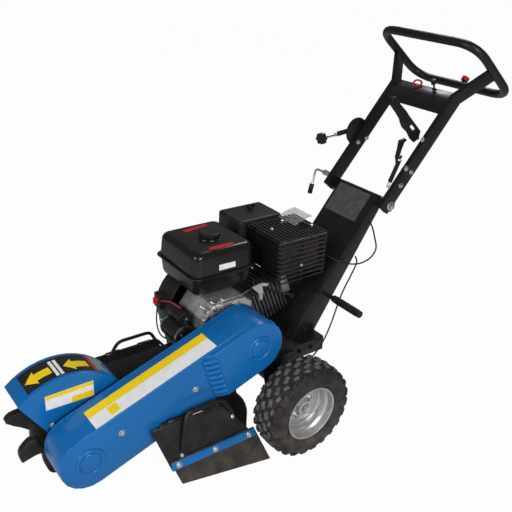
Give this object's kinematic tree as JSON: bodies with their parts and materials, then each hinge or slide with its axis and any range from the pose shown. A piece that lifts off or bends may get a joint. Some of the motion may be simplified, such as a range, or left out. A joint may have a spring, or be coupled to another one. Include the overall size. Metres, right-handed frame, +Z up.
{
  "type": "stump grinder",
  "caption": "Walk-behind stump grinder: petrol engine on a two-wheeled deck, belt-driven clawed cutter under a hood, hinged side guards and a tilting loop handle with levers.",
  "frame": {"origin": "on the ground plane, at the middle of the machine's bounding box seen from above", "axes": "+X forward towards the cutter along the ground, +Y to the machine's left (the belt side), +Z up"},
  "size_m": [1.7812, 0.695, 1.2974],
  "materials": {
    "black_paint": "semi-gloss black powder coat",
    "black_plastic": "black moulded",
    "blue_paint": "gloss blue powder coat",
    "bright_steel": "zinc plated",
    "cable_sheath": "black vinyl sheath",
    "cast_aluminium": "as cast",
    "dark_steel": "dark oiled steel",
    "flap_rubber": "matt reinforced rubber sheet",
    "grip_foam": "black foam sleeve over steel tube",
    "red_plastic": "red moulded",
    "silver_paint": "silver lacquer",
    "tyre_rubber": "matt black tyre rubber"
  },
  "bodies": {
    "chassis": {"air_cleaner_base": "black_plastic", "air_cleaner_cover": "black_plastic", "axle": "bright_steel", "bearing_left": "cast_aluminium", "bearing_right": "cast_aluminium", "belt_back_plate": "blue_paint", "belt_cover": "blue_paint", "blower_housing": "black_plastic", "brake_cable": "cable_sheath", "carburetor": "cast_aluminium", "column": "black_paint", "crankcase": "cast_aluminium", "cutter_boom": "black_paint", "cutter_hood": "blue_paint", "cylinder": "cast_aluminium", "deck_frame": "black_paint", "drive_belt": "flap_rubber", "fuel_tank": "black_paint", "guard_bar_left": "black_paint", "guard_bar_right": "black_paint", "heat_shield": "bright_steel", "muffler": "dark_steel", "muffler_guard": "black_paint", "rear_deflector": "black_paint", "recoil_cover": "black_plastic", "rocker_cover": "silver_paint", "starter_motor": "black_plastic", "throttle_cable": "cable_sheath"},
    "wheel_left": {"tyre_left": "tyre_rubber", "rim_left": "silver_paint"},
    "wheel_right": {"tyre_right": "tyre_rubber", "rim_right": "silver_paint"},
    "cutter": {"cutter_wheel": "dark_steel", "cutter_shaft": "bright_steel", "cutter_pulley": "dark_steel"},
    "crank": {"drive_pulley": "dark_steel"},
    "belt_tensioner": {"idler_arm": "dark_steel"},
    "belt_idler": {"idler_pulley": "bright_steel"},
    "guard_left": {"side_guard_left": "black_paint", "guard_flap_left": "flap_rubber", "flap_strip_left": "blue_paint"},
    "guard_right": {"side_guard_right": "black_paint", "guard_flap_right": "flap_rubber", "flap_strip_right": "blue_paint"},
    "handle": {"handle_post_left": "black_paint", "handle_post_right": "black_paint", "handlebar": "grip_foam", "cross_plate": "black_paint", "brake_quadrant": "black_plastic"},
    "engage_lever": {"engage_lever": "dark_steel"},
    "tension_link": {"tension_rod": "dark_steel"},
    "brake_lever": {"brake_lever": "black_plastic"},
    "handle_clamp": {"clamp_crank": "bright_steel"},
    "stop_button": {"stop_button": "red_plastic"},
    "throttle_lever": {"throttle_toggle": "black_plastic"},
    "lock_bar": {"lock_bar": "black_plastic"},
    "fuel_cap": {"fuel_cap": "black_plastic"},
    "wing_nut": {"wing_nut": "bright_steel"},
    "recoil_grip": {"recoil_handle": "black_plastic"},
    "ignition_key": {"engine_switch": "red_plastic"}
  },
  "joints": [
    {"name": "wheel_left_spin", "type": "hinge", "parent": "chassis", "child": "wheel_left", "pos_m": [0.0301, 0.285, 0.165], "axis": [0, 1, 0], "continuous": true},
    {"name": "wheel_right_spin", "type": "hinge", "parent": "chassis", "child": "wheel_right", "pos_m": [0.0301, -0.285, 0.165], "axis": [0, 1, 0], "continuous": true},
    {"name": "cutter_spin", "type": "hinge", "parent": "chassis", "child": "cutter", "pos_m": [0.7259, 0, 0.17572], "axis": [0, 1, 0], "continuous": true},
    {"name": "crank_spin", "type": "hinge", "parent": "chassis", "child": "crank", "pos_m": [0.17305, 0.147, 0.39015], "axis": [0, 1, 0], "continuous": true},
    {"name": "belt_tension", "type": "hinge", "parent": "chassis", "child": "belt_tensioner", "pos_m": [0.38096, 0.105, 0.30954], "axis": [0, 1, 0], "range_deg": [-12, 0]},
    {"name": "idler_spin", "type": "hinge", "parent": "belt_tensioner", "child": "belt_idler", "pos_m": [0.43555, 0.147, 0.25671], "axis": [0, 1, 0], "continuous": true},
    {"name": "guard_left_swing", "type": "hinge", "parent": "chassis", "child": "guard_left", "pos_m": [0.40249, 0.209, 0.22704], "axis": [0.9994, 0, -0.0349], "range_deg": [0, 12]},
    {"name": "guard_right_swing", "type": "hinge", "parent": "chassis", "child": "guard_right", "pos_m": [0.40249, -0.209, 0.22704], "axis": [-0.9994, 0, 0.0349], "range_deg": [0, 12]},
    {"name": "handle_tilt", "type": "hinge", "parent": "chassis", "child": "handle", "pos_m": [-0.40294, 0, 0.74447], "axis": [0, 1, 0], "range_deg": [-15, 40]},
    {"name": "engage_swing", "type": "hinge", "parent": "handle", "child": "engage_lever", "pos_m": [-0.50863, 0.1145, 0.96729], "axis": [0, 1, 0], "range_deg": [0, 45]},
    {"name": "tension_pull", "type": "slide", "parent": "handle", "child": "tension_link", "axis": [-0.391, 0, 0.9204], "range_m": [-0.021, 0]},
    {"name": "brake_swing", "type": "hinge", "parent": "handle", "child": "brake_lever", "pos_m": [-0.4957, -0.1718, 0.92481], "axis": [0, 1, 0], "range_deg": [-35, 35]},
    {"name": "clamp_turn", "type": "hinge", "parent": "handle", "child": "handle_clamp", "pos_m": [-0.39314, -0.19, 0.76714], "axis": [0, 1, 0], "range_deg": [-90, 90]},
    {"name": "stop_press", "type": "slide", "parent": "handle", "child": "stop_button", "axis": [0.5882, 0, -0.8087], "range_m": [0, 0.004], "stiffness_N_per_m": 400, "springref_m": -0.0005},
    {"name": "throttle_swing", "type": "hinge", "parent": "handle", "child": "throttle_lever", "pos_m": [-0.65244, 0.045, 1.10689], "axis": [0, 1, 0], "range_deg": [-30, 30]},
    {"name": "lock_pull", "type": "slide", "parent": "chassis", "child": "lock_bar", "axis": [0, 1, 0], "range_m": [0, 0.02], "stiffness_N_per_m": 600, "springref_m": -0.002},
    {"name": "cap_turn", "type": "hinge", "parent": "chassis", "child": "fuel_cap", "pos_m": [0.16689, -0.1, 0.64362], "axis": [0.0349, 0, 0.9994], "range_deg": [0, 90]},
    {"name": "wing_nut_turn", "type": "hinge", "parent": "chassis", "child": "wing_nut", "pos_m": [-0.06029, -0.19, 0.67126], "axis": [0.0349, 0, 0.9994], "continuous": true},
    {"name": "recoil_pull", "type": "slide", "parent": "chassis", "child": "recoil_grip", "axis": [0, -1, 0], "range_m": [0, 0.25], "stiffness_N_per_m": 30, "springref_m": -0.05},
    {"name": "key_turn", "type": "hinge", "parent": "chassis", "child": "ignition_key", "pos_m": [0.32547, -0.158, 0.41985], "axis": [0.9994, 0, -0.0349], "range_deg": [0, 60]}
  ],
  "couplings": [
    {"joint": "crank_spin", "follows": "cutter_spin", "ratio": 1.5},
    {"joint": "belt_tension", "follows": "engage_swing", "ratio": -0.2666},
    {"joint": "tension_pull", "follows": "engage_swing", "m_per_rad": -0.0255}
  ]
}
